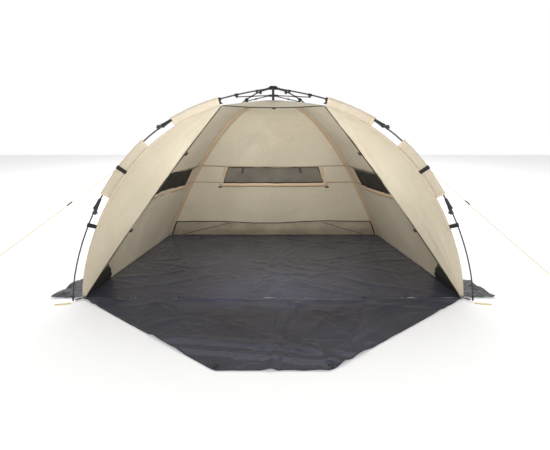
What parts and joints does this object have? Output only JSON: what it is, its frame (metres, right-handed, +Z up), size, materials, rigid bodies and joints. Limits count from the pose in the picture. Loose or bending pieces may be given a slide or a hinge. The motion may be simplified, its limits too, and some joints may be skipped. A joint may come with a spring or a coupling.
{
  "type": "instant beach shelter",
  "caption": "Open-fronted sun shelter with a hinged pole frame on an umbrella hub, fabric canopy with mesh windows, floor sheet, fold-out apron and guy lines.",
  "frame": {"origin": "on the ground, at the middle of the hub's vertical line, in the underside of the ground sheet", "axes": "+Z up, +X to the right of someone facing the opening from outside, +Y towards the back wall; the opening faces -Y"},
  "size_m": [4.025, 2.4034, 1.392],
  "materials": {
    "pole": "satin",
    "fitting": "satin",
    "steel": "satin",
    "canopy": "matte",
    "mesh": "matte",
    "floor": "satin",
    "cord": "matte"
  },
  "bodies": {
    "shell": {"side_wall_left": "canopy", "side_window_left": "mesh", "side_wall_right": "canopy", "side_window_right": "mesh", "back_wall": "canopy", "back_window": "mesh", "wing_left": "canopy", "peg_loop_left": "cord", "wing_right": "canopy", "peg_loop_right": "cord", "roof_front": "canopy", "ground_sheet": "floor", "sand_flap_left": "floor", "sand_flap_right": "floor", "guy_line_left_upper": "cord", "guy_line_left": "cord", "peg_left": "steel", "guy_line_right_upper": "cord", "guy_line_right": "cord", "peg_right": "steel"},
    "hub": {"crown": "fitting", "hub_post": "fitting"},
    "runner": {"runner": "fitting"},
    "apron": {"apron": "floor"},
    "tensioner_left": {"tensioner_left": "fitting"},
    "tensioner_right": {"tensioner_right": "fitting"},
    "arm_front_left": {"arm_front_left": "pole", "strut_bracket_front_left": "fitting", "hem_clip_front_left": "fitting"},
    "strut_front_left": {"strut_front_left": "fitting"},
    "middle_front_left": {"middle_pole_front_left": "pole"},
    "lower_front_left": {"lower_pole_front_left": "pole", "foot_front_left": "fitting"},
    "upper_lock_front_left": {"upper_lock_front_left": "fitting"},
    "lower_lock_front_left": {"lower_lock_front_left": "fitting"},
    "arm_front_right": {"arm_front_right": "pole", "strut_bracket_front_right": "fitting", "hem_clip_front_right": "fitting"},
    "strut_front_right": {"strut_front_right": "fitting"},
    "middle_front_right": {"middle_pole_front_right": "pole"},
    "lower_front_right": {"lower_pole_front_right": "pole", "foot_front_right": "fitting"},
    "upper_lock_front_right": {"upper_lock_front_right": "fitting"},
    "lower_lock_front_right": {"lower_lock_front_right": "fitting"},
    "arm_rear_left": {"arm_rear_left": "pole", "strut_bracket_rear_left": "fitting"},
    "strut_rear_left": {"strut_rear_left": "fitting"},
    "middle_rear_left": {"middle_pole_rear_left": "pole"},
    "lower_rear_left": {"lower_pole_rear_left": "pole", "foot_rear_left": "fitting"},
    "upper_lock_rear_left": {"upper_lock_rear_left": "fitting"},
    "lower_lock_rear_left": {"lower_lock_rear_left": "fitting"},
    "arm_rear_right": {"arm_rear_right": "pole", "strut_bracket_rear_right": "fitting"},
    "strut_rear_right": {"strut_rear_right": "fitting"},
    "middle_rear_right": {"middle_pole_rear_right": "pole"},
    "lower_rear_right": {"lower_pole_rear_right": "pole", "foot_rear_right": "fitting"},
    "upper_lock_rear_right": {"upper_lock_rear_right": "fitting"},
    "lower_lock_rear_right": {"lower_lock_rear_right": "fitting"}
  },
  "joints": [
    {"name": "hub_drop", "type": "slide", "parent": "shell", "child": "hub", "axis": [0, 0, -1], "range_m": [0, 0.52], "deforming": ["side_wall_left", "side_window_left", "side_wall_right", "side_window_right", "back_wall", "back_window", "wing_left", "wing_right", "roof_front", "peg_loop_left", "peg_loop_right", "guy_line_left_upper", "guy_line_left", "guy_line_right_upper", "guy_line_right"]},
    {"name": "runner_slide", "type": "slide", "parent": "hub", "child": "runner", "axis": [0, 0, -1], "range_m": [0, 0.436]},
    {"name": "arm_front_left", "type": "hinge", "parent": "hub", "child": "arm_front_left", "pos_m": [-0.02713, -0.01281, 1.376], "axis": [-0.4269, 0.9043, 0], "range_deg": [-62.9, 0]},
    {"name": "strut_front_left", "type": "hinge", "parent": "runner", "child": "strut_front_left", "pos_m": [-0.02713, -0.01281, 1.327], "axis": [-0.4269, 0.9043, 0], "range_deg": [0, 81.05]},
    {"name": "knee_1_front_left", "type": "hinge", "parent": "arm_front_left", "child": "middle_front_left", "pos_m": [-0.74618, -0.35224, 1.11314], "axis": [-0.4269, 0.9043, 0], "range_deg": [0, 184.4]},
    {"name": "knee_2_front_left", "type": "hinge", "parent": "middle_front_left", "child": "lower_front_left", "pos_m": [-1.1231, -0.53017, 0.57631], "axis": [-0.4269, 0.9043, 0], "range_deg": [-139.2, 0]},
    {"name": "upper_lock_front_left", "type": "slide", "parent": "arm_front_left", "child": "upper_lock_front_left", "axis": [0.7728, 0.3648, 0.5194], "range_m": [0, 0.0452]},
    {"name": "lower_lock_front_left", "type": "slide", "parent": "middle_front_left", "child": "lower_lock_front_left", "axis": [0.4552, 0.2149, 0.864], "range_m": [0, 0.0452]},
    {"name": "arm_front_right", "type": "hinge", "parent": "hub", "child": "arm_front_right", "pos_m": [0.02713, -0.01281, 1.376], "axis": [-0.4269, -0.9043, 0], "range_deg": [-62.9, 0]},
    {"name": "strut_front_right", "type": "hinge", "parent": "runner", "child": "strut_front_right", "pos_m": [0.02713, -0.01281, 1.327], "axis": [-0.4269, -0.9043, 0], "range_deg": [0, 81.05]},
    {"name": "knee_1_front_right", "type": "hinge", "parent": "arm_front_right", "child": "middle_front_right", "pos_m": [0.74618, -0.35224, 1.11314], "axis": [-0.4269, -0.9043, 0], "range_deg": [0, 184.4]},
    {"name": "knee_2_front_right", "type": "hinge", "parent": "middle_front_right", "child": "lower_front_right", "pos_m": [1.1231, -0.53017, 0.57631], "axis": [-0.4269, -0.9043, 0], "range_deg": [-139.2, 0]},
    {"name": "upper_lock_front_right", "type": "slide", "parent": "arm_front_right", "child": "upper_lock_front_right", "axis": [-0.7728, 0.3648, 0.5194], "range_m": [0, 0.0452]},
    {"name": "lower_lock_front_right", "type": "slide", "parent": "middle_front_right", "child": "lower_lock_front_right", "axis": [-0.4552, 0.2149, 0.864], "range_m": [0, 0.0452]},
    {"name": "arm_rear_left", "type": "hinge", "parent": "hub", "child": "arm_rear_left", "pos_m": [-0.02221, 0.02017, 1.376], "axis": [0.6724, 0.7402, 0], "range_deg": [-56, 0]},
    {"name": "strut_rear_left", "type": "hinge", "parent": "runner", "child": "strut_rear_left", "pos_m": [-0.02221, 0.02017, 1.327], "axis": [0.6724, 0.7402, 0], "range_deg": [0, 79.91]},
    {"name": "knee_1_rear_left", "type": "hinge", "parent": "arm_rear_left", "child": "middle_rear_left", "pos_m": [-0.56818, 0.5161, 0.99756], "axis": [0.6724, 0.7402, 0], "range_deg": [0, 177.8]},
    {"name": "knee_2_rear_left", "type": "hinge", "parent": "middle_rear_left", "child": "lower_rear_left", "pos_m": [-0.89084, 0.80918, 0.46882], "axis": [0.6724, 0.7402, 0], "range_deg": [-157.4, 0]},
    {"name": "upper_lock_rear_left", "type": "slide", "parent": "arm_rear_left", "child": "upper_lock_rear_left", "axis": [0.561, -0.5096, 0.6524], "range_m": [0, 0.0452]},
    {"name": "lower_lock_rear_left", "type": "slide", "parent": "middle_rear_left", "child": "lower_lock_rear_left", "axis": [0.4626, -0.4202, 0.7807], "range_m": [0, 0.0452]},
    {"name": "arm_rear_right", "type": "hinge", "parent": "hub", "child": "arm_rear_right", "pos_m": [0.02221, 0.02017, 1.376], "axis": [0.6724, -0.7402, 0], "range_deg": [-56, 0]},
    {"name": "strut_rear_right", "type": "hinge", "parent": "runner", "child": "strut_rear_right", "pos_m": [0.02221, 0.02017, 1.327], "axis": [0.6724, -0.7402, 0], "range_deg": [0, 79.91]},
    {"name": "knee_1_rear_right", "type": "hinge", "parent": "arm_rear_right", "child": "middle_rear_right", "pos_m": [0.56818, 0.5161, 0.99756], "axis": [0.6724, -0.7402, 0], "range_deg": [0, 177.8]},
    {"name": "knee_2_rear_right", "type": "hinge", "parent": "middle_rear_right", "child": "lower_rear_right", "pos_m": [0.89084, 0.80918, 0.46882], "axis": [0.6724, -0.7402, 0], "range_deg": [-157.4, 0]},
    {"name": "upper_lock_rear_right", "type": "slide", "parent": "arm_rear_right", "child": "upper_lock_rear_right", "axis": [-0.561, -0.5096, 0.6524], "range_m": [0, 0.0452]},
    {"name": "lower_lock_rear_right", "type": "slide", "parent": "middle_rear_right", "child": "lower_lock_rear_right", "axis": [-0.4626, -0.4202, 0.7807], "range_m": [0, 0.0452]},
    {"name": "apron_fold", "type": "hinge", "parent": "shell", "child": "apron", "pos_m": [0, -0.56, 0.001], "axis": [1, 0, 0], "range_deg": [-105, 0], "deforming": ["apron"]},
    {"name": "tensioner_slide_left", "type": "slide", "parent": "shell", "child": "tensioner_left", "axis": [0.7343, 0.3783, 0.5636], "range_m": [-0.12, 0.12]},
    {"name": "tensioner_slide_right", "type": "slide", "parent": "shell", "child": "tensioner_right", "axis": [-0.7169, 0.2941, 0.6321], "range_m": [-0.12, 0.12]}
  ],
  "couplings": [
    {"joint": "runner_slide", "follows": "hub_drop", "ratio": 0.83846},
    {"joint": "arm_front_left", "follows": "hub_drop", "rad_per_m": -2.1045},
    {"joint": "strut_front_left", "follows": "hub_drop", "rad_per_m": 2.7135},
    {"joint": "knee_1_front_left", "follows": "hub_drop", "rad_per_m": 6.1825},
    {"joint": "knee_2_front_left", "follows": "hub_drop", "rad_per_m": -4.6654},
    {"joint": "upper_lock_front_left", "follows": "hub_drop", "ratio": 0.086538},
    {"joint": "lower_lock_front_left", "follows": "hub_drop", "ratio": 0.086538},
    {"joint": "arm_front_right", "follows": "hub_drop", "rad_per_m": -2.1045},
    {"joint": "strut_front_right", "follows": "hub_drop", "rad_per_m": 2.7135},
    {"joint": "knee_1_front_right", "follows": "hub_drop", "rad_per_m": 6.1825},
    {"joint": "knee_2_front_right", "follows": "hub_drop", "rad_per_m": -4.6654},
    {"joint": "upper_lock_front_right", "follows": "hub_drop", "ratio": 0.086538},
    {"joint": "lower_lock_front_right", "follows": "hub_drop", "ratio": 0.086538},
    {"joint": "arm_rear_left", "follows": "hub_drop", "rad_per_m": -1.8729},
    {"joint": "strut_rear_left", "follows": "hub_drop", "rad_per_m": 2.6752},
    {"joint": "knee_1_rear_left", "follows": "hub_drop", "rad_per_m": 5.961},
    {"joint": "knee_2_rear_left", "follows": "hub_drop", "rad_per_m": -5.2763},
    {"joint": "upper_lock_rear_left", "follows": "hub_drop", "ratio": 0.086538},
    {"joint": "lower_lock_rear_left", "follows": "hub_drop", "ratio": 0.086538},
    {"joint": "arm_rear_right", "follows": "hub_drop", "rad_per_m": -1.8729},
    {"joint": "strut_rear_right", "follows": "hub_drop", "rad_per_m": 2.6752},
    {"joint": "knee_1_rear_right", "follows": "hub_drop", "rad_per_m": 5.961},
    {"joint": "knee_2_rear_right", "follows": "hub_drop", "rad_per_m": -5.2763},
    {"joint": "upper_lock_rear_right", "follows": "hub_drop", "ratio": 0.086538},
    {"joint": "lower_lock_rear_right", "follows": "hub_drop", "ratio": 0.086538}
  ]
}
